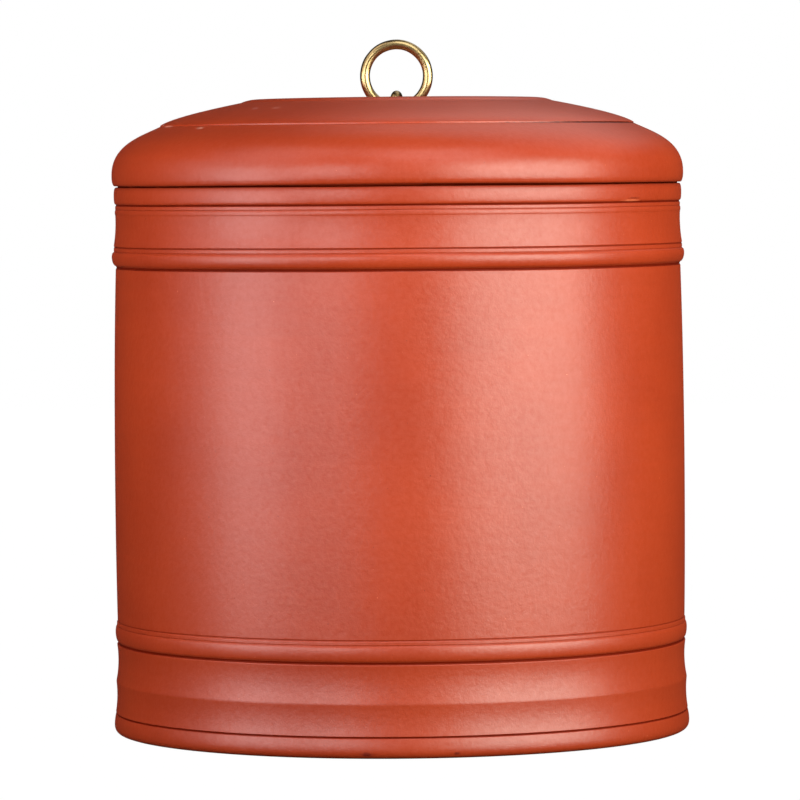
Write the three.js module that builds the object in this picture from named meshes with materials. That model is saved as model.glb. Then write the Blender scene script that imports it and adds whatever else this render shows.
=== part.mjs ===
// A lidded clay tea jar with a brass ring pull on its lid.
// Sizes are in millimetres and +Z is up. The origin is on the ground, on the jar's axis,
// and the ring stands upright, facing -Y.
import * as THREE from 'three';

// Clearances
const seatGap = 0.3; // between faces that rest on each other
const flangePlay = 1.2; // round the lid's flange, inside the mouth
const pinPlay = 0.8; // round the split pin, in the lid and its washers
const eyePlay = 1.6; // round the ring's wire, inside the eye
const legGap = 0.3; // between the two halves of the split pin

// Jar body
const rimHeight = 229; // ground to the rim that carries the lid
const wallRadius = 119.3; // outside, where the wall meets the foot mouldings
const wallDraw = 0.8; // how much narrower the wall is under the shoulder mouldings
const wallSwell = 0.85; // how far the wall bows out between its two ends
const wallThickness = 8;
const floorThickness = 9;
const floorRound = 9; // inside, between wall and floor
const rimRound = 1.6;
const footRecess = 2.5; // height of the hollow inside the foot ring
const footRingWidth = 15;

// Foot mouldings, from the ground up
const footBandHeight = 8.1;
const footBandProud = 1.7; // outside the wall
const footBandTaper = 0.2;
const footRound = 4.2;
const lowerCoveHeight = 12.8;
const lowerCoveSink = 0.3;
const ridgeProud = 0.8; // outside the wall
const upperCoveHeight = 16.5;
const upperCoveSink = 0.55;
const footBeadHeight = 5.8;
const footBeadProud = 0.9; // outside the wall

// Shoulder mouldings, from the rim down
const rimBandHeight = 7;
const rimBandProud = 0.6; // outside the drawn-in top of the wall
const collarHeight = 1.1;
const collarRoundHeight = 2;
const collarRoundProud = 0.2;
const neckCoveHeight = 12.9;
const neckCoveSink = 0.35;
const neckFlare = 0.75; // how far the cove opens at its lower end
const shoulderBeadHeight = 6.2;
const shoulderBeadProud = 1.55;

// Turned lines between the mouldings
const grooveWidth = 1;
const grooveDepth = 0.9;
const fineGrooveWidth = 0.5;
const fineGrooveDepth = 0.4;
const filletHeight = 1.1; // the flat band beside each bead
const filletProud = 0.3;

// Lid
const lidProud = 0.65; // outside the wall, at the lid's widest
const lidEdgeHeight = 4.7; // seat to the widest place
const lidEdgeUndercut = 2.4; // how far the seat stays inside the widest place
const shoulderHeight = 20.2; // widest place to the crease
const shoulderWidth = 20.65; // widest place to the crease, inwards
const creaseHeight = 0.55; // the small step round the dome
const domeHeight = 9.45;
const domeWidth = 34.6; // crease to the lip, inwards
const lipRise = 1.2;
const lipWidth = 9;
const wellDepth = 10.1; // lip to the floor that the ring pull stands on
const wellSlopeWidth = 9;
const shellThickness = 7;
const flangeDepth = 12;
const flangeThickness = 5.5;
const flangeTaper = 0.6;

// Ring pull
const ringRadius = 13.2; // to the middle of the wire
const ringWireRadius = 2.2;

// Split pin and its washers
const shankRadius = 2;
const pinBendRelief = 0.6; // inside radius at the neck of the eye and where the legs spread
const legReach = 10; // axis to the tip of a spread leg
const eyeTurn = THREE.MathUtils.degToRad(14); // how far the eye has swivelled from square
const rosetteRadius = 9;
const rosetteThickness = 1.2;
const washerRadius = 11;
const washerThickness = 1.2;

// Facets
const turnSegments = 44;
const smallTurnSegments = 24;
const wireSides = 12;
const pinSteps = 84;

// The outline of a turned piece, as radius and height, followed from point to point.
class Outline {
  constructor(radius, height) {
    this.points = [new THREE.Vector2(radius, height)];
  }

  get end() {
    return this.points[this.points.length - 1];
  }

  line(radius, height) {
    this.points.push(new THREE.Vector2(radius, height));
    return this;
  }

  // Rounds off a corner, leaving towards it and arriving from it.
  bend(cornerRadius, cornerHeight, radius, height, steps) {
    const corner = new THREE.Vector2(cornerRadius, cornerHeight);
    const curve = new THREE.QuadraticBezierCurve(this.end, corner, new THREE.Vector2(radius, height));
    this.points.push(...curve.getPoints(steps).slice(1));
    return this;
  }

  // Sweeps from one direction to another.
  sweep(leave, arrive, radius, height, steps) {
    const end = new THREE.Vector2(radius, height);
    const start = this.end;
    const curve = new THREE.CubicBezierCurve(start, start.clone().add(leave), end.clone().sub(arrive), end);
    this.points.push(...curve.getPoints(steps).slice(1));
    return this;
  }

  // A shallow bow that stands out from the straight line by a depth, or sinks below it.
  bow(radius, height, depth, steps) {
    const start = this.end;
    for (let step = 1; step <= steps; step += 1) {
      const t = step / steps;
      const out = depth * 4 * t * (1 - t);
      this.line(start.x + (radius - start.x) * t + out, start.y + (height - start.y) * t);
    }
    return this;
  }

  // A half-round moulding that rises to a height and stands out to a radius on the way.
  bead(rise, proud, steps) {
    const start = this.end;
    for (let step = 1; step <= steps; step += 1) {
      const angle = (Math.PI * step) / steps;
      this.line(start.x + proud * Math.sin(angle), start.y + (rise * (1 - Math.cos(angle))) / 2);
    }
    return this;
  }

  // A turned line, cut below the smaller of the two radii that it lies between.
  groove(width, depth, nextRadius) {
    const { x, y } = this.end;
    this.line(Math.min(x, nextRadius) - depth, y + width / 2);
    return this.line(nextRadius, y + width);
  }

  // Turns the outline about the Z axis.
  turn(segments) {
    return new THREE.LatheGeometry(this.points, segments).rotateX(Math.PI / 2);
  }

  // Joins the end to the start first, for a piece with a hole along its axis.
  turnRing(segments) {
    return this.line(this.points[0].x, this.points[0].y).turn(segments);
  }
}

const outwards = (distance) => new THREE.Vector2(distance, 0);
const upwards = (distance) => new THREE.Vector2(0, distance);

// A flat curve of radius and height, stood upright in the XZ plane.
class UprightCurve extends THREE.Curve {
  constructor(path) {
    super();
    this.path = path;
  }

  getPoint(t, target = new THREE.Vector3()) {
    const { x, y } = this.path.getPoint(t);
    return target.set(x, 0, y);
  }
}

// Heights and radii that the pieces share
const boreRadius = wallRadius - wallThickness; // the inside of the jar and its mouth
const wallTopRadius = wallRadius - wallDraw;
const pinHoleRadius = shankRadius + pinPlay;
const seatHeight = rimHeight + seatGap;
const widestHeight = seatHeight + lidEdgeHeight;
const creaseFoot = widestHeight + shoulderHeight;
const domeFoot = creaseFoot + creaseHeight;
const lipFoot = domeFoot + domeHeight;
const lipTop = lipFoot + lipRise;
const wellFloor = lipTop - wellDepth;
const lidUnderside = wellFloor - shellThickness;
const rosetteFoot = wellFloor + seatGap;
const washerTop = lidUnderside - seatGap;

function jarBody() {
  const footRadius = wallRadius + footBandProud;
  const footBandTop = footRadius - footBandTaper;
  const ridgeRadius = wallRadius + ridgeProud;
  const filletRadius = wallRadius + filletProud;
  const rimRadius = wallTopRadius + rimBandProud;
  const shoulderFilletRadius = wallTopRadius + neckFlare;
  const innerFloor = footRecess + floorThickness;
  const footRingInside = footRadius - footRound - footRingWidth;

  const collar = collarHeight + collarRoundHeight;
  const shoulderStack = rimBandHeight + collar + neckCoveHeight + filletHeight + shoulderBeadHeight;
  const wallTop = rimHeight - shoulderStack - 3 * grooveWidth - 2 * fineGrooveWidth;

  const outline = new Outline(0, footRecess);
  outline.line(footRingInside, footRecess);
  outline.bend(footRingInside + footRecess, footRecess, footRingInside + footRecess, 0, 3);

  // Foot band, two coves with a ridge between them, then a bead
  outline.line(footRadius - footRound, 0);
  outline.bend(footRadius, 0, footRadius, footRound, 4);
  outline.line(footBandTop, footBandHeight);
  outline.groove(grooveWidth, grooveDepth, footBandTop);
  outline.bow(ridgeRadius, outline.end.y + lowerCoveHeight, -lowerCoveSink, 4);
  outline.bow(filletRadius, outline.end.y + upperCoveHeight, -upperCoveSink, 5);
  outline.groove(grooveWidth, grooveDepth, wallRadius);
  outline.bead(footBeadHeight, footBeadProud, 6);
  outline.groove(fineGrooveWidth, fineGrooveDepth, filletRadius);
  outline.line(filletRadius, outline.end.y + filletHeight);
  outline.groove(grooveWidth, grooveDepth, wallRadius);

  // Wall
  outline.bow(wallTopRadius, wallTop, wallSwell, 6);

  // Bead, neck cove, collar and rim band
  outline.groove(grooveWidth, grooveDepth, wallTopRadius);
  outline.bead(shoulderBeadHeight, shoulderBeadProud, 6);
  outline.groove(fineGrooveWidth, fineGrooveDepth, shoulderFilletRadius);
  outline.line(shoulderFilletRadius, outline.end.y + filletHeight);
  outline.groove(grooveWidth, grooveDepth, shoulderFilletRadius);
  outline.bow(wallTopRadius, outline.end.y + neckCoveHeight, -neckCoveSink, 5);
  outline.bead(collarRoundHeight, collarRoundProud, 3);
  outline.groove(fineGrooveWidth, fineGrooveDepth, wallTopRadius);
  outline.line(wallTopRadius, outline.end.y + collarHeight);
  outline.groove(grooveWidth, grooveDepth, wallTopRadius);
  outline.bend(rimRadius, outline.end.y, rimRadius, outline.end.y + rimBandHeight / 2, 3);
  outline.line(rimRadius, rimHeight - rimRound);
  outline.bend(rimRadius, rimHeight, rimRadius - rimRound, rimHeight, 3);

  // Inside, from the mouth down
  outline.line(boreRadius + rimRound, rimHeight);
  outline.bend(boreRadius, rimHeight, boreRadius, rimHeight - rimRound, 3);
  outline.line(boreRadius, innerFloor + floorRound);
  outline.bend(boreRadius, innerFloor, boreRadius - floorRound, innerFloor, 4);
  outline.line(0, innerFloor);
  return outline.turn(turnSegments);
}

function lid() {
  const widestRadius = wallRadius + lidProud;
  const seatRadius = widestRadius - lidEdgeUndercut;
  const creaseRadius = widestRadius - shoulderWidth;
  const lipOuter = creaseRadius - domeWidth;
  const lipMiddle = lipOuter - lipWidth / 2;
  const lipInner = lipOuter - lipWidth;
  const wellRadius = lipInner - wellSlopeWidth;
  const flangeRadius = boreRadius - flangePlay;
  const flangeInside = flangeRadius - flangeThickness;
  const flangeFoot = seatHeight - flangeDepth;
  const flangeToe = flangeRadius - flangeTaper;
  const hollowTop = lipFoot - shellThickness;

  // Out from the pin's hole under the well, round the hollow below the lip, down to the flange
  const outline = new Outline(pinHoleRadius, lidUnderside);
  outline.line(wellRadius + shellThickness / 2, lidUnderside);
  const underSlope = outwards(wellSlopeWidth * 0.7);
  outline.sweep(underSlope, underSlope, lipOuter, hollowTop, 4);
  const underDome = outwards((flangeInside - lipOuter) / 2);
  outline.sweep(underDome, upwards(-shoulderHeight * 0.65), flangeInside, widestHeight, 6);

  // Round the flange that drops into the mouth, then out along the seat
  outline.line(flangeInside, flangeFoot + flangeThickness / 2);
  outline.bend(flangeInside, flangeFoot, flangeRadius - flangeThickness / 2, flangeFoot, 2);
  outline.bend(flangeToe, flangeFoot, flangeToe, flangeFoot + flangeThickness / 4, 2);
  outline.line(flangeRadius, seatHeight);
  outline.line(seatRadius, seatHeight);

  // Up the rounded edge, the shoulder, the crease and the dome
  const edgeBreak = widestRadius - lidEdgeUndercut / 4;
  outline.bend(seatRadius + lidEdgeUndercut / 2, seatHeight, edgeBreak, seatHeight + lidEdgeHeight / 4, 3);
  outline.bend(widestRadius, seatHeight + lidEdgeHeight / 2, widestRadius, widestHeight, 3);
  const shoulderSlope = new THREE.Vector2(-shoulderWidth * 0.4, shoulderHeight * 0.19);
  const creaseWidth = creaseHeight / 3;
  outline.sweep(upwards(shoulderHeight * 0.63), shoulderSlope, creaseRadius + creaseWidth, creaseFoot, 9);
  outline.line(creaseRadius, creaseFoot + creaseWidth);
  outline.line(creaseRadius, domeFoot);
  const domeBrow = new THREE.Vector2(-domeWidth / 6, domeHeight * 0.4);
  const domeSlope = new THREE.Vector2(-domeWidth / 5, domeHeight / 5);
  outline.sweep(domeBrow, domeSlope, lipOuter, lipFoot, 7);

  // Over the lip, down into the well and in over its floor
  outline.bend(lipOuter - lipWidth / 6, lipTop, lipMiddle, lipTop, 3);
  outline.bend(lipInner, lipTop, lipInner, lipTop - lipRise * 2, 3);
  outline.sweep(upwards(-wellDepth / 4), outwards(-wellSlopeWidth / 2), wellRadius, wellFloor, 5);
  outline.line(pinHoleRadius, wellFloor);
  return outline.turnRing(turnSegments);
}

// A domed plate under the eye, with the pin passing through it.
function rosette() {
  const foot = rosetteFoot;
  const top = foot + rosetteThickness;
  const outline = new Outline(pinHoleRadius, foot);
  outline.line(rosetteRadius, foot);
  outline.bend(rosetteRadius, top, rosetteRadius - rosetteThickness * 2, top, 3);
  outline.line(pinHoleRadius, top);
  return outline.turnRing(smallTurnSegments);
}

// A flat washer that spreads the pull of the pin's legs under the lid.
function washer() {
  const foot = washerTop - washerThickness;
  const edge = washerThickness / 4;
  const outline = new Outline(pinHoleRadius, foot);
  outline.line(washerRadius - edge, foot);
  outline.line(washerRadius, foot + edge);
  outline.line(washerRadius, washerTop);
  outline.line(pinHoleRadius, washerTop);
  return outline.turnRing(smallTurnSegments);
}

// The eye stands on the rosette, and the ring's wire rests in the foot of the eye.
const eyeRadius = ringWireRadius + eyePlay; // inside
const pinBendRadius = shankRadius + pinBendRelief; // along the flat side of the wire
const neckReach = legGap / 2 + pinBendRadius;
const neckHeight = rosetteFoot + rosetteThickness + seatGap;
const eyeHeight = neckHeight + Math.sqrt((eyeRadius + pinBendRadius) ** 2 - neckReach ** 2);
const ringWireHeight = eyeHeight - eyePlay + seatGap;

// Half-round wire folded double: spread legs, shank, neck and eye, with its flat side inwards.
function splitPin() {
  const legHeight = washerTop - washerThickness - seatGap - shankRadius;
  const bendHeight = legHeight + pinBendRadius;
  const neckAngle = Math.atan2(eyeHeight - neckHeight, neckReach);
  const half = legGap / 2;
  const path = new THREE.Path();
  path.moveTo(-legReach, legHeight);
  path.lineTo(-neckReach, legHeight);
  path.absarc(-neckReach, bendHeight, pinBendRadius, -Math.PI / 2, 0, false);
  path.lineTo(-half, neckHeight);
  path.absarc(-neckReach, neckHeight, pinBendRadius, 0, neckAngle, false);
  path.absarc(0, eyeHeight, eyeRadius, Math.PI + neckAngle, -neckAngle, true);
  path.absarc(neckReach, neckHeight, pinBendRadius, Math.PI - neckAngle, Math.PI, false);
  path.lineTo(half, bendHeight);
  path.absarc(neckReach, bendHeight, pinBendRadius, Math.PI, Math.PI * 1.5, false);
  path.lineTo(legReach, legHeight);

  const section = new THREE.Shape();
  section.absarc(0, 0, shankRadius, -Math.PI / 2, Math.PI / 2, true);
  section.closePath();
  return new THREE.ExtrudeGeometry(section, {
    steps: pinSteps,
    curveSegments: 3,
    extrudePath: new UprightCurve(path),
  });
}

// A closed ring, upright, with its lowest wire through the eye.
function ringPull() {
  const ring = new THREE.TorusGeometry(ringRadius, ringWireRadius, wireSides, turnSegments);
  ring.rotateX(Math.PI / 2);
  return ring.translate(0, 0, ringWireHeight + ringRadius);
}

function clay() {
  return new THREE.MeshStandardMaterial({ color: 0xb5573c, roughness: 0.5, metalness: 0 });
}

function brass() {
  return new THREE.MeshStandardMaterial({ color: 0xa8813f, roughness: 0.35, metalness: 1 });
}

function piece(name, geometry, material) {
  const mesh = new THREE.Mesh(geometry, material);
  mesh.name = name;
  return mesh;
}

const jar = new THREE.Group();
const pull = new THREE.Group();
const pin = piece('split_pin', splitPin(), brass());
pin.rotation.z = Math.PI / 2 - eyeTurn;
pull.add(piece('ring_pull', ringPull(), brass()), pin);
pull.add(piece('pin_rosette', rosette(), brass()), piece('pin_washer', washer(), brass()));
jar.add(piece('jar_body', jarBody(), clay()), piece('lid', lid(), clay()), pull);

export default jar;
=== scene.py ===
"""A clay tea jar with a brass ring pull, turned, finished and lit for a studio picture.

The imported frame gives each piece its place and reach. The pieces are spun and swept again here with
finer outlines, and get their clay and brass finishes. Sizes in the classes are in millimetres, and
meshes are in metres, with +Z up and the ring facing -Y.
"""

import logging
import math
from dataclasses import dataclass
from enum import Enum

import bmesh
import bpy
from mathutils import Matrix, Vector, noise

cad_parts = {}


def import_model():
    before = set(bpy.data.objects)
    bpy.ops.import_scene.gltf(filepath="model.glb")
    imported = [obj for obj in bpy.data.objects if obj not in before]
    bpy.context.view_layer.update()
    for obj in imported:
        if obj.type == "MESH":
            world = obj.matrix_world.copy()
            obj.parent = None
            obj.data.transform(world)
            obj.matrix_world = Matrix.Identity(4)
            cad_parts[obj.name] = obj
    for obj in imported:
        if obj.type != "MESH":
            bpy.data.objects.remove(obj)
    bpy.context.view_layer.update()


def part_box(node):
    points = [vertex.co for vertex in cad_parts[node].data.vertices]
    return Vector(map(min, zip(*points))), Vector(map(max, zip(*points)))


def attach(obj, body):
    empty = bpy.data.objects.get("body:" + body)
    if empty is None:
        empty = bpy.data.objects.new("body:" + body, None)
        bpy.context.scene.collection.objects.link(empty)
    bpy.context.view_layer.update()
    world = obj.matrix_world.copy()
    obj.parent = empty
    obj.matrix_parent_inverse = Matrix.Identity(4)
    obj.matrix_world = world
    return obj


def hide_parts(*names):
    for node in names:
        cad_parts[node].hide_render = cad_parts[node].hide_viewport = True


Pair = tuple[float, float]
Mesh = bpy.types.Mesh
Material = bpy.types.Material
Tree = bpy.types.NodeTree
Socket = bpy.types.NodeSocket
Shape = bmesh.types.BMesh
Vert = bmesh.types.BMVert
Face = bmesh.types.BMFace

LOG = logging.getLogger("tea_jar")
MM = 0.001
MERGE_DISTANCE = 0.001 * MM
PHOTO_PIXELS = 800
# The point attribute that holds how deep each point lies in a hollow, for the painted shade.
HOLLOW = "hollow"
WHITE = "#FFFFFF"
LEFT_TINT = "#FFF6F8"
RIGHT_TINT = "#FFFFF3"
# The heights are made uneven by noise read this far from the noise that the radii get.
NOISE_SHIFT = Vector((7.0, 3.0, 5.0))


class Body(Enum):
    """The bodies that move against each other."""

    JAR = "jar"
    LID = "lid"
    EYE = "eye"
    RING = "ring"


class Slot(Enum):
    """The two stuffs that the object is made of."""

    CLAY = "clay"
    BRASS = "brass"


def linear(hex_colour: str) -> tuple[float, float, float, float]:
    """Turns an sRGB hex colour to linear light.

    Args:
        hex_colour: Six hex digits after a hash sign.

    Returns:
        Red, green, blue and an alpha of one.
    """
    values = [int(hex_colour[place : place + 2], 16) / 255 for place in (1, 3, 5)]
    light = [v / 12.92 if v <= 0.04045 else ((v + 0.055) / 1.055) ** 2.4 for v in values]
    return (light[0], light[1], light[2], 1.0)


def add_node(
    tree: Tree,
    kind: str,
    inputs: dict[str | int, object] | None = None,
    output: str | int = 0,
    **settings: object,
) -> Socket | None:
    """Adds a shader node with its settings, values and links.

    Args:
        tree: The node tree that takes the node.
        kind: The node's type name, without ShaderNode in front.
        inputs: For each input, by name or number, a value or the socket that feeds it.
        output: The output that is wanted, by name or number.
        **settings: The node's own properties.

    Returns:
        The output, or nothing from a node that has none.
    """
    node = tree.nodes.new(f"ShaderNode{kind}")
    for name, value in settings.items():
        setattr(node, name, value)
    for socket, value in (inputs or {}).items():
        if isinstance(value, Socket):
            tree.links.new(value, node.inputs[socket])
        else:
            node.inputs[socket].default_value = value
    return node.outputs[output] if len(node.outputs) else None


def empty_material(name: str) -> tuple[Material, Tree]:
    """Makes a material with an empty node tree.

    Args:
        name: The material's name.

    Returns:
        The material and its node tree.
    """
    material = bpy.data.materials.new(name)
    material.use_nodes = True
    material.node_tree.nodes.clear()
    return material, material.node_tree


def add_object(name: str, data: bpy.types.ID) -> bpy.types.Object:
    """Makes an object at the origin and puts it in the scene.

    Args:
        name: The object's name.
        data: Its mesh, light or camera.

    Returns:
        The object.
    """
    made = bpy.data.objects.new(name, data)
    bpy.context.scene.collection.objects.link(made)
    return made


@dataclass(frozen=True)
class Mark:
    """A small flaw in the clay, as its middle and its half sizes along X, Y and Z in millimetres."""

    name: str
    spot: tuple[float, float, float]
    reach: tuple[float, float, float]
    colour: str


@dataclass(frozen=True)
class ClayNodes:
    """What the clay's nodes share: their tree, the coordinates, and the grain, streaks and painted shade.
    """

    tree: Tree
    place: Socket
    grain: Socket
    streak: Socket
    painted_shade: Socket


@dataclass(frozen=True)
class FiredClay:
    """Unglazed red clay, turned on the wheel, rubbed smooth while leather hard, and fired.

    The rubbed skin gives it a soft sheen over a deep brick red. Its grain breaks up the sheen, and fine
    sand shows as pale and dark grit. The turning leaves faint level streaks, and the kiln a slow drift of
    tone. Painted shade darkens and dulls the turned lines, the seam below the lid and the rim's edge.
    """

    name: str = "fired_red_clay"
    pale_colour: str = "#9E3514"
    dark_colour: str = "#963011"
    drift_mm: float = 60.0
    drift_detail: float = 3.0
    drift_low: float = 0.35
    drift_high: float = 0.65
    # Painted shade: the colour darkens towards the foot, fading out at this reach.
    foot_shade: float = 0.15
    foot_reach_mm: float = 150.0
    # Sand in such clay is about 0.3 mm across, too fine to show in the picture, so it is drawn coarser.
    sand_mm: float = 0.9
    sand_colour: str = "#BC5A3B"
    sand_start: float = 0.87
    sand_full: float = 0.93
    pit_colour: str = "#6E200C"
    pit_start: float = 0.13
    pit_full: float = 0.08
    # Painted shade in the turned lines, the seam and the rim's edge: its colour, and the depth at which
    # it is full.
    painted_shade_colour: str = "#560E04"
    painted_shade_full: float = 0.5
    painted_shade_cover: float = 0.9
    streak_mm: float = 2.4
    streak_reach_mm: float = 90.0
    streak_detail: float = 3.0
    streak_shade: float = 0.05
    streak_bump_mm: float = 0.012
    # The grain's finest layer, of 0.3 mm, is the clay's own. Coarser ones make it show in the picture.
    grain_mm: float = 2.4
    grain_detail: float = 3.0
    grain_fineness: float = 0.7
    grain_shade: float = 0.06
    grain_bump_mm: float = 0.1
    ior: float = 1.5
    roughness_low: float = 0.36
    roughness_high: float = 0.42
    sheen_low: float = 0.28
    sheen_high: float = 0.72
    flaw_start: float = 1.5
    flaw_full: float = 0.9
    marks: tuple[Mark, ...] = (
        Mark("crease chip", (-94.6, -30.2, 254.1), (3.4, 9.0, 0.5), "#BC7864"),
        Mark("crease chip beside it", (-80.4, -62.2, 253.2), (2.6, 3.6, 0.7), "#B26E5A"),
        Mark("dome scratch", (-49.3, -61.2, 261.2), (2.4, 3.6, 1.1), "#AE5846"),
        Mark("dome scuff", (-58.1, -53.5, 261.1), (1.7, 4.0, 1.2), "#A85548"),
        Mark("shade in the crease", (86.0, -50.0, 254.3), (75.0, 65.0, 0.55), "#4A1206"),
        Mark("rim band nick", (95.2, -71.2, 222.15), (6.4, 8.6, 0.6), "#C4623E"),
        Mark("shade over the nick", (96.4, -69.6, 223.2), (4.6, 6.0, 0.5), "#7A2409"),
        # Painted shade: the two pits at the foot are dark spots in the colour, with no dent in the shape.
        Mark("left foot pit", (-14.4, -120.0, 1.9), (3.2, 2.0, 1.3), "#64190A"),
        Mark("right foot pit", (22.0, -118.5, 2.1), (1.5, 2.0, 0.8), "#6C1D0B"),
    )

    def build(self) -> Material:
        """Makes the clay material.

        Returns:
            The material, patterned on Object coordinates.
        """
        material, tree = empty_material(self.name)
        place = add_node(tree, "TexCoord", output="Object")
        fine = {"Vector": place, "Scale": 1 / (self.grain_mm * MM)}
        layers = {"Detail": self.grain_detail, "Roughness": self.grain_fineness}
        grain = add_node(tree, "TexNoise", fine | layers)
        # Painted shade in the turned lines, the seam and the rim's edge; it takes the sheen away there
        # too.
        depth = add_node(tree, "Attribute", output="Fac", attribute_name=HOLLOW)
        shaded = {"Value": depth, "From Max": self.painted_shade_full, "To Max": self.painted_shade_cover}
        painted_shade = add_node(tree, "MapRange", shaded)
        unshaded = add_node(tree, "Math", {0: 1.0, 1: painted_shade}, operation="SUBTRACT")
        broken = {"Value": grain, "To Min": self.sheen_low, "To Max": self.sheen_high}
        sheen = add_node(tree, "MapRange", broken)
        rough = {"Value": grain, "To Min": self.roughness_low, "To Max": self.roughness_high}
        nodes = ClayNodes(tree, place, grain, self.streaks(tree, place), painted_shade)
        look = {
            "Base Color": self.colour(nodes),
            "Roughness": add_node(tree, "MapRange", rough),
            "Normal": self.relief(nodes),
            "IOR": self.ior,
            "Specular IOR Level": add_node(tree, "Math", {0: sheen, 1: unshaded}, operation="MULTIPLY"),
        }
        shader = add_node(tree, "BsdfPrincipled", look)
        add_node(tree, "OutputMaterial", {"Surface": shader})
        return material

    def streaks(self, tree: Tree, place: Socket) -> Socket:
        """Adds the level streaks that the turning tool leaves.

        Args:
            tree: The material's node tree.
            place: The coordinates.

        Returns:
            The streaks, from 0 to 1.
        """
        along = 1 / (self.streak_reach_mm * MM)
        across = 1 / (self.streak_mm * MM)
        level = add_node(tree, "Mapping", {"Vector": place, "Scale": (along, along, across)})
        return add_node(tree, "TexNoise", {"Vector": level, "Scale": 1.0, "Detail": self.streak_detail})

    def colour(self, nodes: ClayNodes) -> Socket:
        """Lays the drift of tone, the shades, the sand, the flaws and the painted shade over each other.

        Args:
            nodes: What the clay's nodes share.

        Returns:
            The colour.
        """
        tree = nodes.tree
        slow = {"Vector": nodes.place, "Scale": 1 / (self.drift_mm * MM), "Detail": self.drift_detail}
        drift = add_node(tree, "TexNoise", slow)
        colour = add_node(tree, "ValToRGB", {"Fac": drift})
        stops = ((self.drift_low, self.dark_colour), (self.drift_high, self.pale_colour))
        for stop, (position, tint) in zip(colour.node.color_ramp.elements, stops):
            stop.position = position
            stop.color = linear(tint)
        height = add_node(tree, "SeparateXYZ", {"Vector": nodes.place}, output="Z")
        # The first is painted shade, darker towards the foot; the streaks and the grain vary the clay's
        # own tone.
        shades = (
            (height, self.foot_reach_mm * MM, 1 - self.foot_shade, 1.0),
            (nodes.streak, 1.0, 1 - self.streak_shade, 1 + self.streak_shade),
            (nodes.grain, 1.0, 1 - self.grain_shade, 1 + self.grain_shade),
        )
        for value, reach, low, high in shades:
            light = {"Value": value, "From Max": reach, "To Min": low, "To Max": high}
            share = add_node(tree, "MapRange", light)
            colour = add_node(tree, "VectorMath", {0: colour, "Scale": share}, operation="SCALE")
        grit = {"Vector": nodes.place, "Scale": 1 / (self.sand_mm * MM), "Detail": 0.0}
        sand = add_node(tree, "TexNoise", grit)
        specks = (
            (self.sand_colour, self.sand_start, self.sand_full),
            (self.pit_colour, self.pit_start, self.pit_full),
        )
        layers = []
        for tint, start, full in specks:
            speck = {"Value": sand, "From Min": start, "From Max": full}
            layers.append((tint, add_node(tree, "MapRange", speck)))
        for mark in self.marks:
            layers.append((mark.colour, self.cover(nodes, mark)))
        # Last comes the painted shade in the turned lines, the seam and the rim's edge.
        layers.append((self.painted_shade_colour, nodes.painted_shade))
        # The colour sockets of a Mix node share their names with others, so they go by number.
        for tint, amount in layers:
            laid = {"Factor": amount, 6: colour, 7: linear(tint)}
            colour = add_node(tree, "Mix", laid, output=2, data_type="RGBA")
        return colour

    def cover(self, nodes: ClayNodes, mark: Mark) -> Socket:
        """Works out how much a flaw covers, with an edge that the grain makes ragged.

        Args:
            nodes: What the clay's nodes share.
            mark: The flaw.

        Returns:
            The cover, from 0 to 1.
        """
        tree = nodes.tree
        spot = Vector(mark.spot) * MM
        reach = Vector(mark.reach) * MM
        away = add_node(tree, "VectorMath", {0: nodes.place, 1: spot}, operation="SUBTRACT")
        scaled = add_node(tree, "VectorMath", {0: away, 1: reach}, operation="DIVIDE")
        far = add_node(tree, "VectorMath", {0: scaled}, output="Value", operation="LENGTH")
        ragged = add_node(tree, "Math", {0: far, 1: nodes.grain}, operation="ADD")
        edge = {"Value": ragged, "From Min": self.flaw_start, "From Max": self.flaw_full}
        return add_node(tree, "MapRange", edge, label=mark.name)

    def relief(self, nodes: ClayNodes) -> Socket:
        """Raises the grain and the streaks a few hundredths of a millimetre.

        Args:
            nodes: What the clay's nodes share.

        Returns:
            The bumped normal.
        """
        tree = nodes.tree
        lines = add_node(tree, "Math", {0: nodes.streak, 1: self.streak_bump_mm}, operation="MULTIPLY")
        raised = {0: nodes.grain, 1: self.grain_bump_mm, 2: lines}
        height = add_node(tree, "Math", raised, operation="MULTIPLY_ADD")
        return add_node(tree, "Bump", {"Height": height, "Distance": MM})


@dataclass(frozen=True)
class AgedBrass:
    """Cast and drawn brass, darkened with age and rubbed bright by handling.

    Age gives it brown clouds with a duller gleam, and handling a paler shine between them.
    """

    name: str = "aged_brass"
    bright_colour: str = "#B59D6E"
    dark_colour: str = "#8F7850"
    cloud_mm: float = 6.0
    cloud_detail: float = 4.0
    cloud_low: float = 0.3
    cloud_high: float = 0.6
    roughness_low: float = 0.25
    roughness_high: float = 0.32

    def build(self) -> Material:
        """Makes the brass material.

        Returns:
            The material, patterned on Object coordinates.
        """
        material, tree = empty_material(self.name)
        place = add_node(tree, "TexCoord", output="Object")
        spread = {"Vector": place, "Scale": 1 / (self.cloud_mm * MM), "Detail": self.cloud_detail}
        cloud = add_node(tree, "TexNoise", spread)
        colour = add_node(tree, "ValToRGB", {"Fac": cloud})
        stops = ((self.cloud_low, self.dark_colour), (self.cloud_high, self.bright_colour))
        for stop, (position, tint) in zip(colour.node.color_ramp.elements, stops):
            stop.position = position
            stop.color = linear(tint)
        worn = {"Value": cloud, "To Min": self.roughness_high, "To Max": self.roughness_low}
        rough = add_node(tree, "MapRange", worn)
        look = {"Base Color": colour, "Metallic": 1.0, "Roughness": rough}
        shader = add_node(tree, "BsdfPrincipled", look)
        add_node(tree, "OutputMaterial", {"Surface": shader})
        return material


@dataclass(frozen=True)
class Groove:
    """A turned line: its width and depth, how far back its edges are rounded, and its painted shade's
    darkness.
    """

    width: float
    depth: float
    lip: float = 0.12
    dark: float = 1.0


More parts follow.
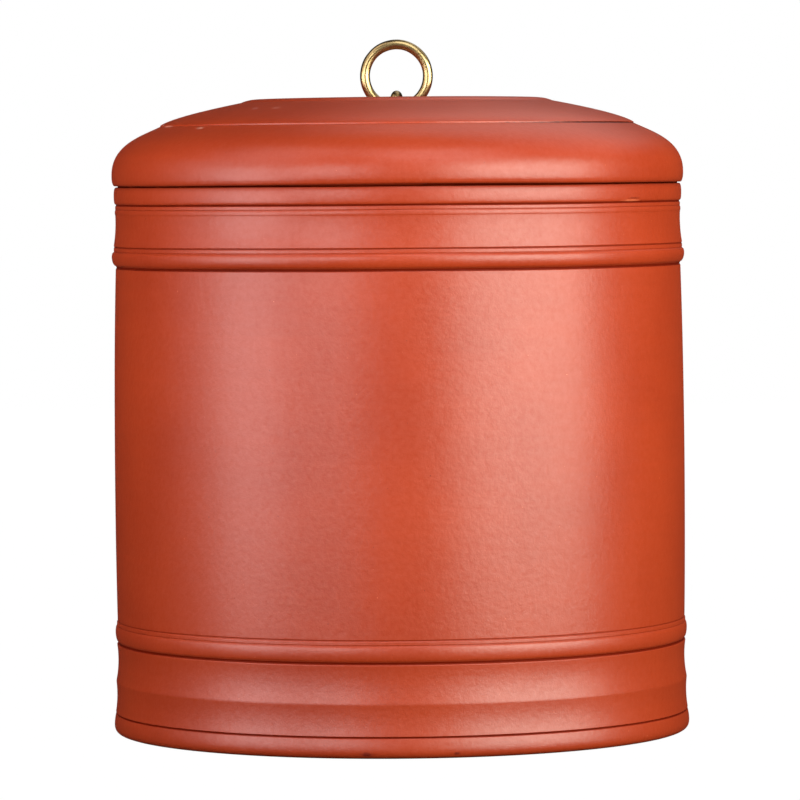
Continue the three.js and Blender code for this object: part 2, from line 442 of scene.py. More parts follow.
@dataclass(frozen=True)
class Hollow:
    """A place that gets painted shade: its lowest and highest point, floor radius, depth and darkness."""

    low: float
    high: float
    floor: float
    depth: float
    dark: float

    def cover(self, radius: float, height: float) -> float:
        """Works out how deep a point lies in the place.

        Args:
            radius: The point's radius.
            height: The point's height.

        Returns:
            A value from 0 outside to the place's darkness at its floor.
        """
        sunk = 1.0 - (radius - self.floor) / self.depth
        if not self.low <= height <= self.high or not 0.0 <= sunk <= 1.0:
            return 0.0
        return sunk * self.dark


class Outline:
    """The outline of a turned piece, from point to point, as radius and height in millimetres."""

    def __init__(self, radius: float, height: float) -> None:
        """Starts the outline at a point."""
        self.points: list[Vector] = [Vector((radius, height))]
        self.rounds: dict[int, float] = {}
        self.hollows: list[Hollow] = []

    @property
    def end(self) -> Vector:
        """The last point."""
        return self.points[-1]

    def line(self, radius: float, height: float, round_mm: float = 0.0) -> None:
        """Goes straight on to a point.

        Args:
            radius: The point's radius.
            height: The point's height.
            round_mm: How far back from the point its corner is rounded off.
        """
        self.points.append(Vector((radius, height)))
        if round_mm:
            self.rounds[len(self.points) - 1] = round_mm

    def bend(self, corner: Pair, end: Pair, steps: int) -> None:
        """Rounds off a corner, leaving towards it and arriving from it.

        Args:
            corner: The radius and height of the corner.
            end: The radius and height where the bend ends.
            steps: How many straight stretches stand for it.
        """
        start = self.end.copy()
        middle = Vector(corner)
        last = Vector(end)
        for step in range(1, steps + 1):
            t = step / steps
            point = start * (1 - t) ** 2 + middle * (2 * t * (1 - t)) + last * t**2
            self.line(point.x, point.y)

    def sweep(self, leave: Pair, arrive: Pair, end: Pair, steps: int) -> None:
        """Sweeps smoothly from one direction to another.

        Args:
            leave: How far and which way the curve leaves its start.
            arrive: How far and which way it arrives at its end.
            end: The radius and height where it ends.
            steps: How many straight stretches stand for it.
        """
        start = self.end.copy()
        last = Vector(end)
        first = start + Vector(leave)
        second = last - Vector(arrive)
        for step in range(1, steps + 1):
            t = step / steps
            ends = start * (1 - t) ** 3 + last * t**3
            point = ends + first * (3 * t * (1 - t) ** 2) + second * (3 * t**2 * (1 - t))
            self.line(point.x, point.y)

    def bow(self, radius: float, height: float, depth: float, steps: int, round_mm: float = 0.0) -> None:
        """Makes a shallow bow that stands out from the straight line, or sinks below it.

        Args:
            radius: The radius where it ends.
            height: The height where it ends.
            depth: How far it stands out at the middle, or sinks if less than zero.
            steps: How many straight stretches stand for it.
            round_mm: How far back the corner at its end is rounded off.
        """
        start = self.end.copy()
        for step in range(1, steps + 1):
            t = step / steps
            point = start.lerp(Vector((radius, height)), t)
            self.line(point.x + depth * 4 * t * (1 - t), point.y, round_mm if step == steps else 0.0)

    def bead(self, rise: float, proud: float, end_radius: float, steps: int) -> None:
        """Makes a half-round moulding.

        Args:
            rise: Its height.
            proud: How far it stands out.
            end_radius: The radius where it ends.
            steps: How many straight stretches stand for it.
        """
        start = self.end.copy()
        for step in range(1, steps + 1):
            angle = math.pi * step / steps
            share = (1 - math.cos(angle)) / 2
            ground = start.x + (end_radius - start.x) * share
            self.line(ground + proud * math.sin(angle), start.y + rise * share)

    def groove(self, cut: Groove, next_radius: float) -> None:
        """Cuts a turned line below the smaller of the two radii that it lies between.

        Args:
            cut: The line's sizes.
            next_radius: The radius where the surface goes on.
        """
        start = self.end.copy()
        self.rounds[len(self.points) - 1] = cut.lip
        floor = min(start.x, next_radius) - cut.depth
        # The line gets painted shade, darkest at its floor.
        self.hollows.append(Hollow(start.y, start.y + cut.width, floor, cut.depth, cut.dark))
        self.line(floor, start.y + cut.width / 2, cut.lip)
        self.line(next_radius, start.y + cut.width, cut.lip)


@dataclass
class TurnedPiece:
    """A piece that is turned on a wheel or a lathe about the jar's axis."""

    name: str
    node: str
    body: Body
    slot: Slot
    steps: int = 240
    corner_segments: int = 3
    wobble_mm: float = 0.0
    wobble_reach_mm: float = 70.0
    closed: bool = False

    def outline(self) -> Outline:
        """The piece's outline."""
        raise NotImplementedError

    def mesh(self) -> Mesh:
        """Spins the outline into a closed mesh.

        Returns:
            The mesh, in metres, with its faces pointing out.
        """
        outline = self.outline()
        shape = bmesh.new()
        verts = [shape.verts.new((point.x * MM, 0.0, point.y * MM)) for point in outline.points]
        for start, end in zip(verts, verts[1:]):
            shape.edges.new((start, end))
        if self.closed:
            shape.edges.new((verts[-1], verts[0]))
        for size in sorted(set(outline.rounds.values())):
            corners = [verts[place] for place, round_mm in outline.rounds.items() if round_mm == size]
            round_corners(shape, corners, size, self.corner_segments, clamped=True)
        spin_round(shape, Vector(), (0.0, 0.0, 1.0), self.steps)
        clean(shape, dissolve=True)
        self.shade(shape, outline.hollows)
        if self.wobble_mm:
            self.settle(shape)
        return finished_mesh(shape, self.name)

    def shade(self, shape: Shape, hollows: list[Hollow]) -> None:
        """Notes at each point how deep it lies in a hollow, for the painted shade.

        Args:
            shape: The spun shape.
            hollows: The places that get painted shade.
        """
        layer = shape.verts.layers.float.new(HOLLOW)
        for vert in shape.verts:
            radius = math.hypot(vert.co.x, vert.co.y) / MM
            height = vert.co.z / MM
            vert[layer] = max((hollow.cover(radius, height) for hollow in hollows), default=0.0)

    def settle(self, shape: Shape) -> None:
        """Gives the turned form the small unevenness of hand work, dying out at the ground.

        Args:
            shape: The spun shape.
        """
        for vert in shape.verts:
            out = Vector((vert.co.x, vert.co.y, 0.0))
            if not out.length:
                continue
            spot = vert.co / (self.wobble_reach_mm * MM)
            ground = min(1.0, vert.co.z / (self.wobble_reach_mm * MM))
            shift = self.wobble_mm * MM * ground
            vert.co += out.normalized() * noise.noise(spot) * shift
            vert.co.z += noise.noise(spot + NOISE_SHIFT) * shift


def round_corners(
    shape: Shape, corners: list[Vert], size_mm: float, segments: int, clamped: bool
) -> None:
    """Rounds off corners of an outline.

    Args:
        shape: The bmesh.
        corners: The points at the corners.
        size_mm: How far back from its corner each rounding starts.
        segments: How many straight stretches stand for it.
        clamped: Whether a rounding stops where it meets the next point.
    """
    bmesh.ops.bevel(
        shape,
        geom=corners,
        offset=size_mm * MM,
        offset_type="OFFSET",
        affect="VERTICES",
        segments=segments,
        profile=0.5,
        material=-1,
        clamp_overlap=clamped,
    )


def spin_round(shape: Shape, centre: Vector, axis: tuple[float, float, float], steps: int) -> None:
    """Spins an outline a full turn.

    Args:
        shape: The bmesh with the outline.
        centre: A point on the axis, in metres.
        axis: The axis's direction.
        steps: How many steps make the turn.
    """
    bmesh.ops.spin(
        shape,
        geom=shape.verts[:] + shape.edges[:],
        cent=centre,
        axis=axis,
        dvec=(0.0, 0.0, 0.0),
        angle=math.tau,
        steps=steps,
        use_merge=True,
        use_duplicate=False,
    )


def clean(shape: Shape, dissolve: bool = False) -> None:
    """Merges doubles and turns the faces outwards.

    Args:
        shape: The bmesh.
        dissolve: Whether it also takes out what has no length or area.
    """
    bmesh.ops.remove_doubles(shape, verts=shape.verts[:], dist=MERGE_DISTANCE)
    if dissolve:
        bmesh.ops.dissolve_degenerate(shape, edges=shape.edges[:], dist=MERGE_DISTANCE)
    bmesh.ops.recalc_face_normals(shape, faces=shape.faces[:])


def finished_mesh(shape: Shape, name: str) -> Mesh:
    """Turns a bmesh to a smooth-shaded mesh and frees it.

    Args:
        shape: The modelled shape.
        name: The mesh's name.

    Returns:
        The mesh.
    """
    for face in shape.faces:
        face.smooth = True
    mesh = bpy.data.meshes.new(name)
    shape.to_mesh(mesh)
    shape.free()
    return mesh


def place_piece(mesh: Mesh, node: str, body: Body, material: Material) -> None:
    """Puts a finished mesh in the scene in place of its CAD node.

    Args:
        mesh: The mesh, already in its place.
        node: The CAD node that it stands for.
        body: The body that it rides on.
        material: Its finish.
    """
    piece = add_object(mesh.name, mesh)
    mesh.materials.append(material)
    soften = piece.modifiers.new("even_normals", "WEIGHTED_NORMAL")
    soften.mode = "FACE_AREA"
    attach(piece, body.value)
    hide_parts(node)
    LOG.info("%s: %d faces on %s", piece.name, len(mesh.polygons), body.value)


@dataclass
class JarBody(TurnedPiece):
    """The clay jar: foot band, coves, beads, wall, neck and rim band, turned in one piece."""

    name: str = "clay_jar"
    node: str = "jar_body"
    body: Body = Body.JAR
    slot: Slot = Slot.CLAY
    wobble_mm: float = 0.12
    rim_height: float = 229.0
    foot_radius: float = 121.0
    foot_band_proud: float = 1.7
    wall_draw: float = 0.8
    wall_swell: float = 0.85
    wall_thickness: float = 8.0
    floor_thickness: float = 9.0
    floor_round: float = 9.0
    rim_round: float = 1.6
    rim_edge_height: float = 3.4
    rim_edge_depth: float = 1.0
    # How dark the painted shade is on the rim's rounded edge, under the lid's edge.
    rim_edge_dark: float = 0.5
    foot_recess: float = 2.5
    foot_ring_width: float = 15.0
    foot_band_height: float = 8.1
    foot_band_taper: float = 0.6
    foot_band_crown: float = 0.7
    foot_round: float = 3.6
    lower_cove_height: float = 12.8
    lower_cove_sink: float = 0.45
    ridge_proud: float = 0.8
    ridge_round: float = 0.5
    upper_cove_height: float = 15.5
    upper_cove_sink: float = 0.68
    foot_bead_height: float = 6.3
    foot_bead_proud: float = 0.75
    rim_band_height: float = 7.0
    rim_band_proud: float = 0.6
    collar_height: float = 1.1
    collar_round_height: float = 2.0
    collar_round_proud: float = 0.2
    neck_cove_height: float = 12.9
    neck_cove_sink: float = 0.35
    neck_flare: float = 0.75
    shoulder_bead_height: float = 5.7
    shoulder_bead_proud: float = 1.2
    fillet_height: float = 1.1
    fillet_proud: float = 0.3
    deep_line: Groove = Groove(1.0, 0.42)
    bead_line: Groove = Groove(1.5, 0.42)
    wall_line: Groove = Groove(1.0, 0.12, dark=0.5)
    neck_line: Groove = Groove(1.0, 0.25, dark=0.5)
    fine_line: Groove = Groove(0.5, 0.12, lip=0.08, dark=0.3)

    def fit(self) -> None:
        """Takes the rim's height and the foot's radius from the frame."""
        _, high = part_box(self.node)
        self.rim_height = high.z / MM
        self.foot_radius = high.x / MM

    def outline(self) -> Outline:
        """Follows the jar from under the foot, up the outside, over the rim and down the inside.

        Returns:
            The outline, from axis to axis.
        """
        wall = self.foot_radius - self.foot_band_proud
        wall_top = wall - self.wall_draw
        bore = wall - self.wall_thickness
        outline = Outline(0.0, self.foot_recess)
        self.foot(outline, wall)
        self.wall(outline, wall_top)
        self.shoulder(outline, wall_top)
        self.inside(outline, bore)
        return outline

    def foot(self, outline: Outline, wall: float) -> None:
        """Adds the foot ring, the foot band, two coves with a ridge between them, and a bead.

        Args:
            outline: The outline so far.
            wall: The wall's outside radius.
        """
        band_top = self.foot_radius - self.foot_band_taper
        ring_inside = self.foot_radius - self.foot_round - self.foot_ring_width
        ring_edge = ring_inside + self.foot_recess
        fillet = wall + self.fillet_proud
        outline.line(ring_inside, self.foot_recess)
        outline.bend((ring_edge, self.foot_recess), (ring_edge, 0.0), steps=5)
        outline.line(self.foot_radius - self.foot_round, 0.0)
        outline.bend((self.foot_radius, 0.0), (self.foot_radius, self.foot_round), steps=10)
        crown = (self.foot_radius, self.foot_band_height * self.foot_band_crown)
        outline.bend(crown, (band_top, self.foot_band_height), steps=8)
        outline.groove(self.deep_line, band_top)
        ridge = wall + self.ridge_proud
        height = outline.end.y + self.lower_cove_height
        outline.bow(ridge, height, -self.lower_cove_sink, steps=10, round_mm=self.ridge_round)
        outline.bow(fillet, height + self.upper_cove_height, -self.upper_cove_sink, steps=12)
        outline.groove(self.bead_line, wall)
        outline.bead(self.foot_bead_height, self.foot_bead_proud, fillet, steps=16)
        self.lined_fillet(outline, fillet, self.fillet_height)
        outline.groove(self.wall_line, wall)

    def lined_fillet(self, outline: Outline, radius: float, height: float) -> None:
        """Adds a fine line and above it a fillet of a radius and height."""
        outline.groove(self.fine_line, radius)
        outline.line(radius, outline.end.y + height)

    def wall(self, outline: Outline, wall_top: float) -> None:
        """Adds the plain wall, with its slight swell.

        Args:
            outline: The outline so far.
            wall_top: The wall's outside radius at its top.
        """
        collar = self.collar_height + self.collar_round_height
        bands = self.rim_band_height + collar + self.neck_cove_height
        stack = bands + self.fillet_height + self.shoulder_bead_height
        lines = self.bead_line.width + self.neck_line.width + self.deep_line.width
        lines += 2 * self.fine_line.width
        outline.bow(wall_top, self.rim_height - stack - lines, self.wall_swell, steps=32)

    def shoulder(self, outline: Outline, wall_top: float) -> None:
        """Adds the bead, the neck cove, the collar and the rim band.

        Args:
            outline: The outline so far.
            wall_top: The wall's outside radius at its top.
        """
        flare = wall_top + self.neck_flare
        rim = wall_top + self.rim_band_proud
        outline.groove(self.bead_line, wall_top)
        outline.bead(self.shoulder_bead_height, self.shoulder_bead_proud, flare, steps=16)
        self.lined_fillet(outline, flare, self.fillet_height)
        outline.groove(self.neck_line, flare)
        outline.bow(wall_top, outline.end.y + self.neck_cove_height, -self.neck_cove_sink, steps=12)
        outline.bead(self.collar_round_height, self.collar_round_proud, wall_top, steps=8)
        self.lined_fillet(outline, wall_top, self.collar_height)
        outline.groove(self.deep_line, wall_top)
        start = outline.end.y
        outline.bend((rim, start), (rim, start + self.rim_band_height / 2), steps=8)
        edge = rim - self.rim_edge_depth
        edge_foot = self.rim_height - self.rim_edge_height
        edge_top = self.rim_height + self.rim_edge_depth
        # Painted shade on the rim's rounded edge, which lies below the lid's edge.
        outline.hollows.append(Hollow(edge_foot, edge_top, edge, self.rim_edge_depth, self.rim_edge_dark))
        outline.line(rim, edge_foot)
        outline.bend((rim, self.rim_height), (edge, self.rim_height), steps=8)

    def inside(self, outline: Outline, bore: float) -> None:
        """Adds the flat of the rim, the mouth, the inside of the wall and the floor.

        Args:
            outline: The outline so far.
            bore: The inside radius.
        """
        floor = self.foot_recess + self.floor_thickness
        outline.line(bore + self.rim_round, self.rim_height)
        outline.bend((bore, self.rim_height), (bore, self.rim_height - self.rim_round), steps=6)
        outline.line(bore, floor + self.floor_round)
        outline.bend((bore, floor), (bore - self.floor_round, floor), steps=10)
        outline.line(0.0, floor)


@dataclass
class Lid(TurnedPiece):
    """The clay lid: rounded edge, shoulder, crease, dome and lip, a sunken well and a flange.

    The pin's hole runs along the axis, so the outline closes on itself.
    """

    name: str = "clay_lid"
    node: str = "lid"
    body: Body = Body.LID
    slot: Slot = Slot.CLAY
    closed: bool = True
    wobble_mm: float = 0.12
    widest_radius: float = 119.95
    lip_top: float = 265.4
    flange_foot: float = 217.3
    edge_height: float = 4.7
    edge_undercut: float = 1.3
    shoulder_height: float = 20.2
    shoulder_width: float = 20.65
    crease_height: float = 0.55
    crease_depth: float = 0.3
    crease_round: float = 0.15
    dome_height: float = 9.25
    dome_width: float = 34.0
    lip_rise: float = 1.4
    lip_width: float = 9.6
    lip_face: float = 3.0
    lip_round: float = 2.5
    well_depth: float = 10.1
    well_slope_width: float = 9.0
    shell_thickness: float = 7.0
    flange_depth: float = 12.0
    flange_radius: float = 110.1
    flange_thickness: float = 5.5
    flange_taper: float = 0.6
    pin_hole_radius: float = 2.8
    bearing_drop: float = 0.25
    bearing_inset: float = 2.5
    edge_gap: float = 0.2
    # How dark the painted shade is in the seam and on the lid's lowest edge, and how far up the edge it
    # reaches.
    gap_dark: float = 0.4
    gap_shade_rise: float = 0.8
    edge_lift: float = 0.5
    edge_lift_turn: float = math.radians(4.0)
    edge_lift_reach: float = math.radians(32.0)
    # The sweeps leave and arrive by these shares of the widths and heights that they cover.
    shoulder_leave: float = 0.63
    shoulder_arrive: Pair = (0.4, 0.19)
    dome_leave: Pair = (1 / 6, 0.4)
    dome_arrive: Pair = (1 / 5, 1 / 7)
    hollow_arrive: float = 0.65
    well_ease: float = 0.7

    def settle(self, shape: Shape) -> None:
        """Adds the slight lift of the edge towards the front, where the lid does not bear on the rim.

        Args:
            shape: The spun shape.
        """
        super().settle(shape)
        seat = self.flange_foot + self.flange_depth
        bearing = (self.widest_radius - self.bearing_inset) * MM
        for vert in shape.verts:
            above = (vert.co.z / MM - seat) / self.edge_height
            if math.hypot(vert.co.x, vert.co.y) <= bearing or not 0.0 < above < 1.0:
                continue
            turn = math.atan2(vert.co.x, -vert.co.y) - self.edge_lift_turn
            swell = math.exp(-((turn / self.edge_lift_reach) ** 2))
            vert.co.z += self.edge_lift * MM * swell * (1.0 - above)

    def fit(self) -> None:
        """Takes the widest radius, the lip and the flange's foot from the frame."""
        low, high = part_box(self.node)
        self.widest_radius = high.x / MM
        self.lip_top = high.z / MM
        self.flange_foot = low.z / MM

    def outline(self) -> Outline:
        """Follows the lid from the pin's hole, under the shell, round the flange and over the top.

        Returns:
            The outline, whose end joins its start.
        """
        well_floor = self.lip_top - self.well_depth
        outline = Outline(self.pin_hole_radius, well_floor - self.shell_thickness)
        self.underside(outline)
        self.outside(outline)
        self.well(outline, well_floor)
        return outline

    def underside(self, outline: Outline) -> None:
        """Adds the hollow under the shell, and the flange that drops into the mouth.

        Args:
            outline: The outline so far.
        """
        crease = self.widest_radius - self.shoulder_width
        lip_outer = crease - self.dome_width
        well = lip_outer - self.lip_width - self.well_slope_width
        inside = self.flange_radius - self.flange_thickness
        toe = self.flange_radius - self.flange_taper
        seat = self.flange_foot + self.flange_depth
        slope = (self.well_slope_width * self.well_ease, 0.0)
        hollow = self.lip_top - self.lip_rise - self.shell_thickness
        foot = self.flange_foot
        outline.line(well + self.shell_thickness / 2, outline.end.y)
        outline.sweep(slope, slope, (lip_outer, hollow), steps=10)
        leave = ((inside - lip_outer) / 2, 0.0)
        arrive = (0.0, -self.shoulder_height * self.hollow_arrive)
        outline.sweep(leave, arrive, (inside, seat + self.edge_height), steps=16)
        outline.line(inside, foot + self.flange_thickness / 2)
        outline.bend((inside, foot), (self.flange_radius - self.flange_thickness / 2, foot), steps=5)
        outline.bend((toe, foot), (toe, foot + self.flange_thickness / 4), steps=5)
        outline.line(self.flange_radius, seat - self.bearing_drop)

    def outside(self, outline: Outline) -> None:
        """Adds the seat, the rounded edge, the shoulder, the crease and the dome.

        Args:
            outline: The outline so far.
        """
        widest = self.widest_radius
        seat = self.flange_foot + self.flange_depth
        widest_height = seat + self.edge_height
        seat_radius = widest - self.edge_undercut
        crease = widest - self.shoulder_width
        crease_foot = widest_height + self.shoulder_height
        dome_foot = crease_foot + self.crease_height
        lip_outer = crease - self.dome_width
        bearing = widest - self.bearing_inset
        under = seat + self.edge_gap
        outline.line(bearing, seat - self.bearing_drop)
        # Painted shade in the seam under the lid, reaching a little way up the lid's edge.
        shade_top = under + self.gap_shade_rise
        outline.hollows.append(Hollow(outline.end.y, shade_top, bearing, widest - bearing, self.gap_dark))
        outline.line(bearing, under)
        outline.line(seat_radius, under)
        edge_break = (widest - self.edge_undercut / 4, seat + self.edge_height / 3)
        outline.bend((seat_radius + self.edge_undercut / 2, under), edge_break, steps=8)
        outline.bend((widest, seat + self.edge_height / 2), (widest, widest_height), steps=8)
        across, up = self.shoulder_arrive
        leave = (0.0, self.shoulder_height * self.shoulder_leave)
        arrive = (-self.shoulder_width * across, self.shoulder_height * up)
        shoulder_end = (crease + self.crease_height / 3, crease_foot)
        outline.sweep(leave, arrive, shoulder_end, steps=26)
        outline.rounds[len(outline.points) - 1] = self.crease_round
        outline.line(crease, crease_foot - self.crease_depth, self.crease_round)
        outline.line(crease, dome_foot, self.crease_round)
        across, up = self.dome_leave
        leave = (-self.dome_width * across, self.dome_height * up)
        across, up = self.dome_arrive
        arrive = (-self.dome_width * across, self.dome_height * up)
        outline.sweep(leave, arrive, (lip_outer, dome_foot + self.dome_height), steps=20)

    def well(self, outline: Outline, well_floor: float) -> None:
        """Adds the lip, the slope of the well and its floor.

        Args:
            outline: The outline so far.
            well_floor: The floor's height.
        """
        outer = outline.end.x
        inner = outer - self.lip_width
        outline.rounds[len(outline.points) - 1] = self.crease_round
        lip_end = (inner + self.lip_round, self.lip_top)
        outline.bend((outer - self.lip_face, self.lip_top), lip_end, steps=12)
        outline.bend((inner, self.lip_top), (inner, self.lip_top - self.lip_round), steps=8)
        well = inner - self.well_slope_width
        leave = (0.0, -self.well_depth / 4)
        outline.sweep(leave, (-self.well_slope_width / 2, 0.0), (well, well_floor), steps=14)
        outline.line(self.pin_hole_radius, well_floor)


@dataclass
class PinPlate(TurnedPiece):
    """A small round brass plate on the split pin: the rosette above the lid, or the washer below."""

    body: Body = Body.LID
    slot: Slot = Slot.BRASS
    closed: bool = True
    steps: int = 72
    hole_radius: float = 2.8
    edge_round: float = 0.35
    crown: float = 0.0

    def outline(self) -> Outline:
        """Follows the plate round its section.

        Returns:
            The outline, whose end joins its start.
        """
        low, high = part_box(self.node)
        radius = high.x / MM
        foot = low.z / MM
        top = high.z / MM
        outline = Outline(self.hole_radius, foot)
        outline.line(radius, foot, self.edge_round / 2)
        if self.crown:
            outline.line(radius, foot + (top - foot) / 3, self.edge_round / 2)
            outline.bend((radius - self.crown / 2, top), (radius - self.crown, top), steps=8)
        else:
            outline.line(radius, top, self.edge_round)
        outline.line(self.hole_radius, top, self.edge_round / 2)
        return outline


@dataclass
class RingPull:
    """The closed brass ring that lifts the lid."""

    name: str = "brass_ring"
    node: str = "ring_pull"
    wire_segments: int = 32
    steps: int = 160
    worn_mm: float = 0.12
    wear_mm: float = 0.06
    wear_reach_mm: float = 5.0

    def mesh(self) -> Mesh:
        """Spins the round wire about the ring's middle.

        Returns:
            The mesh, upright in its place.
        """
        low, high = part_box(self.node)
        middle = (low + high) / 2
        wire = (high.y - low.y) / 2
        reach = (high.x - low.x) / 2 - wire
        wire -= self.worn_mm * MM
        stand = Matrix.Translation(middle + Vector((reach, 0.0, 0.0)))
        shape = bmesh.new()
        bmesh.ops.create_circle(shape, segments=self.wire_segments, radius=wire, matrix=stand)
        spin_round(shape, middle, (0.0, 1.0, 0.0), self.steps)
        clean(shape)
        for vert in shape.verts:
            spot = vert.co / (self.wear_reach_mm * MM)
            vert.co += vert.normal * noise.noise(spot) * self.wear_mm * MM
        return finished_mesh(shape, self.name)


@dataclass
class SplitPin:
    """Half-round brass wire folded double: spread legs, shank, neck and eye, flat side inwards."""

    name: str = "brass_split_pin"
    node: str = "split_pin"
    shank_radius: float = 2.0
    bend_relief: float = 0.6
    leg_gap: float = 0.3
    leg_reach: float = 10.0
    eye_radius: float = 3.8
    eye_turn: float = math.radians(14.0)
    section_segments: int = 28
    edge_round: float = 0.3
    corner_segments: int = 3
    steps_per_turn: int = 48
    least_steps: int = 4

    def section(self, shape: Shape, leg_height: float) -> Face:
        """Makes the half-round section at the tip of the first leg.

        Args:
            shape: The bmesh that takes it.
            leg_height: The height of the leg's flat side.

        Returns:
            The section's face, flat side down, facing along the leg.
        """
        stand = Matrix.Translation(Vector((-self.leg_reach, 0.0, leg_height)) * MM)
        upright = Matrix.Rotation(math.radians(90.0), 4, "Y")
        bmesh.ops.create_circle(
            shape,
            cap_ends=True,
            segments=self.section_segments,
            radius=self.shank_radius * MM,
            matrix=stand @ upright,
        )
        flat = Vector((0.0, 0.0, leg_height * MM))
        bmesh.ops.bisect_plane(
            shape,
            geom=shape.verts[:] + shape.edges[:] + shape.faces[:],
            plane_co=flat,
            plane_no=(0.0, 0.0, -1.0),
            clear_outer=True,
        )
        corners = sorted(shape.verts, key=lambda vert: abs(vert.co.y))[-2:]
        round_corners(shape, corners, self.edge_round, self.corner_segments, clamped=False)
        return shape.faces[:][0]

    def straight(self, shape: Shape, face: Face, along: Pair) -> Face:
        """Draws the section straight on.

        Args:
            shape: The bmesh.
            face: The section's face at the wire's end.
            along: How far it goes along X and Z.

        Returns:
            The face at the new end.
        """
        made = bmesh.ops.extrude_face_region(shape, geom=[face])["geom"]
        verts = [part for part in made if isinstance(part, Vert)]
        bmesh.ops.translate(shape, verts=verts, vec=Vector((along[0], 0.0, along[1])) * MM)
        return next(part for part in made if isinstance(part, Face))

    def arc(self, shape: Shape, face: Face, centre: Pair, angle: float) -> Face:
        """Bends the section round a centre.

        Args:
            shape: The bmesh.
            face: The section's face at the wire's end.
            centre: The bend's middle, in X and Z.
            angle: How far it turns, from +X towards +Z.

        Returns:
            The face at the new end.
        """
        made = bmesh.ops.spin(
            shape,
            geom=[face] + face.edges[:] + face.verts[:],
            cent=Vector((centre[0], 0.0, centre[1])) * MM,
            axis=(0.0, -1.0, 0.0),
            dvec=(0.0, 0.0, 0.0),
            angle=angle,
            steps=max(self.least_steps, round(abs(angle) / math.tau * self.steps_per_turn)),
            use_duplicate=False,
        )["geom_last"]
        return next(part for part in made if isinstance(part, Face))

    def mesh(self) -> Mesh:
        """Draws the wire from the tip of one leg, up through the eye and back to the other tip.

        Returns:
            The mesh, turned to stand in its place.
        """
        low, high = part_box(self.node)
        leg_height = low.z / MM
        bend = self.shank_radius + self.bend_relief
        reach = self.leg_gap / 2 + bend
        eye_height = high.z / MM - self.shank_radius - self.eye_radius
        neck_height = eye_height - math.sqrt((self.eye_radius + bend) ** 2 - reach**2)
        neck_angle = math.atan2(eye_height - neck_height, reach)
        shank = neck_height - leg_height - bend
        shape = bmesh.new()
        face = self.section(shape, leg_height)
        face = self.straight(shape, face, (self.leg_reach - reach, 0.0))
        face = self.arc(shape, face, (-reach, leg_height + bend), math.pi / 2)
        face = self.straight(shape, face, (0.0, shank))
        face = self.arc(shape, face, (-reach, neck_height), neck_angle)
        face = self.arc(shape, face, (0.0, eye_height), -math.pi - 2 * neck_angle)
        face = self.arc(shape, face, (reach, neck_height), neck_angle)
        face = self.straight(shape, face, (0.0, -shank))
        face = self.arc(shape, face, (reach, leg_height + bend), math.pi / 2)
        self.straight(shape, face, (self.leg_reach - reach, 0.0))
        turn = Matrix.Rotation(math.pi / 2 - self.eye_turn, 4, "Z")
        bmesh.ops.transform(shape, matrix=turn, verts=shape.verts[:])
        clean(shape)
        return finished_mesh(shape, self.name)


@dataclass(frozen=True)
class Softbox:
    """A flat soft light round the jar, placed in metres and turned to face a point on the jar's axis."""

    name: str
    azimuth: float
    distance: float
    height: float
    width: float
    tall: float
    power: float
    aim_height: float = 0.15
    tint: str = WHITE
    gives_sheen: bool = True

    def place(self) -> None:
        """Hangs the light, out of the camera's sight."""
        side = math.radians(self.azimuth)
        stand = Vector((math.sin(side) * self.distance, -math.cos(side) * self.distance, self.height))
        aim = Vector((0.0, 0.0, self.aim_height))
        lamp = bpy.data.lights.new(self.name, "AREA")
        lamp.shape = "RECTANGLE"
        lamp.size = self.width
        lamp.size_y = self.tall
        lamp.energy = self.power
        lamp.color = linear(self.tint)[:3]
        light = add_object(self.name, lamp)
        light.location = stand
        light.rotation_euler = (aim - stand).to_track_quat("-Z", "Y").to_euler()
        light.visible_camera = False
        light.visible_glossy = self.gives_sheen


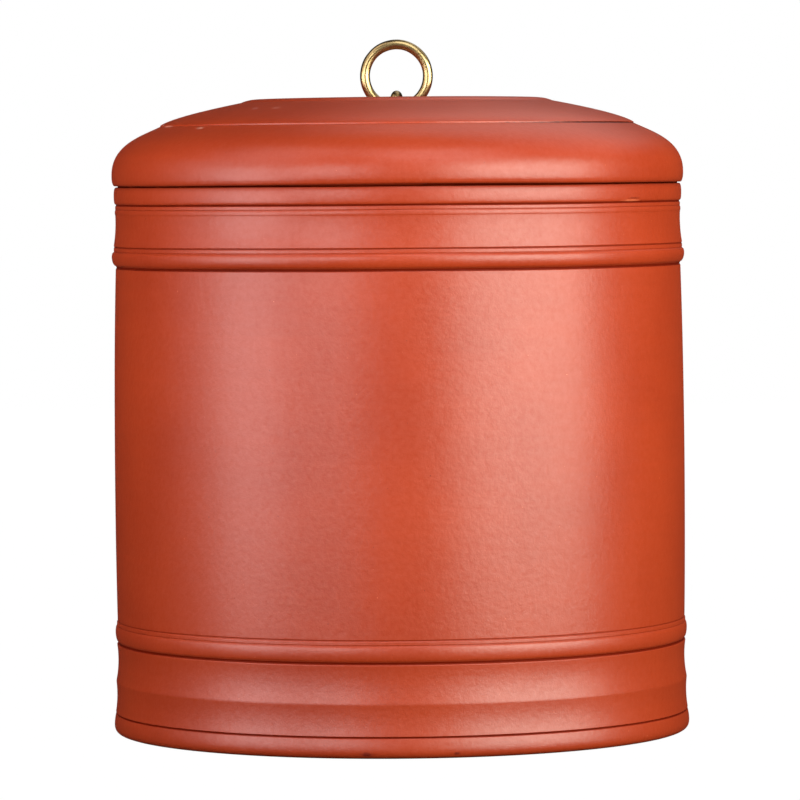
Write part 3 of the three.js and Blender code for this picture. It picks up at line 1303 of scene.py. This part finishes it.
@dataclass
class Studio:
    """The floor and the lights, sized in metres, and the camera, placed in millimetres."""

    camera_distance: float = 2273.0
    camera_height: float = 236.3
    camera_pitch: float = math.radians(2.46)
    camera_roll: float = math.radians(-0.5)
    camera_yaw: float = math.radians(-0.008)
    focal_pixels: float = 5407.0
    sensor: float = 36.0
    floor_size: float = 12.0
    floor_colour: str = "#080808"
    floor_roughness: float = 0.9
    floor_glow: float = 1.0
    wall_light: float = 1.0
    world_light: float = 0.015
    # Each softbox: its name, azimuth in degrees, distance, height, width, tallness, power and aim height.
    softboxes: tuple[Softbox, ...] = (
        Softbox("left_softbox", -56.0, 0.7, 0.18, 0.35, 0.4, 2.35, tint=LEFT_TINT),
        Softbox("left_side_softbox", -68.0, 0.7, 0.32, 0.6, 0.5, 1.15, tint=LEFT_TINT),
        Softbox("left_overhead", -60.0, 0.8, 1.15, 0.8, 0.9, 4.1, 0.2, LEFT_TINT),
        Softbox("front_fill", -26.0, 2.6, 0.6, 1.0, 1.0, 25.0),
        Softbox("right_softbox", 50.0, 1.2, 0.34, 1.3, 0.8, 29.5, tint=RIGHT_TINT),
        Softbox("right_overhead", 20.0, 0.8, 1.15, 0.8, 0.9, 6.3, 0.2),
        Softbox("back_softbox", 134.0, 0.75, 1.12, 1.6, 0.8, 3.5, 0.26),
        Softbox("rear_fill", 180.0, 3.0, 0.5, 1.2, 0.8, 110.0, 0.12, gives_sheen=False),
    )

    def floor(self) -> None:
        """Lays the floor, pale by its even glow and dark in itself, so that no shadow shows on it."""
        shape = bmesh.new()
        bmesh.ops.create_grid(shape, x_segments=1, y_segments=1, size=self.floor_size)
        ground = add_object("floor", finished_mesh(shape, "floor"))
        material, tree = empty_material("pale_floor")
        look = {
            "Base Color": linear(self.floor_colour),
            "Roughness": self.floor_roughness,
            "Specular IOR Level": 0.0,
            "Emission Color": linear(WHITE),
            "Emission Strength": self.floor_glow,
        }
        shader = add_node(tree, "BsdfPrincipled", look)
        add_node(tree, "OutputMaterial", {"Surface": shader})
        ground.data.materials.append(material)
        ground.visible_diffuse = False
        ground.visible_glossy = False

    def light(self) -> None:
        """Hangs the softboxes, and gives the room a pale wall and a low fill."""
        for softbox in self.softboxes:
            softbox.place()
        world = bpy.data.worlds.new("studio")
        world.use_nodes = True
        tree = world.node_tree
        tree.nodes.clear()
        white = linear(WHITE)
        fill = add_node(tree, "Background", {"Color": white, "Strength": self.world_light})
        wall = add_node(tree, "Background", {"Color": white, "Strength": self.wall_light})
        seen = add_node(tree, "LightPath", output="Is Camera Ray")
        both = add_node(tree, "MixShader", {0: seen, 1: fill, 2: wall})
        add_node(tree, "OutputWorld", {"Surface": both})
        bpy.context.scene.world = world
        bpy.context.scene.view_settings.view_transform = "Standard"

    def camera(self) -> None:
        """Sets the camera at the photograph's viewing angle."""
        lens = bpy.data.cameras.new("camera")
        lens.sensor_width = self.sensor
        lens.lens = self.focal_pixels * self.sensor / PHOTO_PIXELS
        camera = add_object("camera", lens)
        turn = Matrix.Rotation(self.camera_yaw, 4, "Z")
        tilt = Matrix.Rotation(math.pi / 2 - self.camera_pitch, 4, "X")
        roll = Matrix.Rotation(self.camera_roll, 4, "Z")
        stand = Matrix.Translation(Vector((0.0, -self.camera_distance, self.camera_height)) * MM)
        camera.matrix_world = stand @ turn @ tilt @ roll
        bpy.context.scene.camera = camera


def corners(box: tuple[Vector, Vector]) -> list[list[float]]:
    """The two corners of a box as plain lists."""
    return [list(box[0]), list(box[1])]


def main() -> None:
    """Builds the jar, its lid and its ring pull round the frame, then the studio."""
    logging.basicConfig(level=logging.INFO, format="%(name)s: %(message)s")
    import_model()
    studio = Studio()
    studio.camera()
    clay = FiredClay().build()
    brass = AgedBrass().build()
    jar = JarBody()
    lid = Lid()
    jar.fit()
    lid.fit()
    rosette = PinPlate(name="brass_rosette", node="pin_rosette", crown=2.4)
    washer = PinPlate(name="brass_washer", node="pin_washer")
    for turned in (jar, lid, rosette, washer):
        finish = clay if turned.slot is Slot.CLAY else brass
        place_piece(turned.mesh(), turned.node, turned.body, finish)
    ring = RingPull()
    pin = SplitPin()
    place_piece(ring.mesh(), ring.node, Body.RING, brass)
    place_piece(pin.mesh(), pin.node, Body.EYE, brass)
    studio.floor()
    studio.light()


if __name__ == "__main__":
    main()
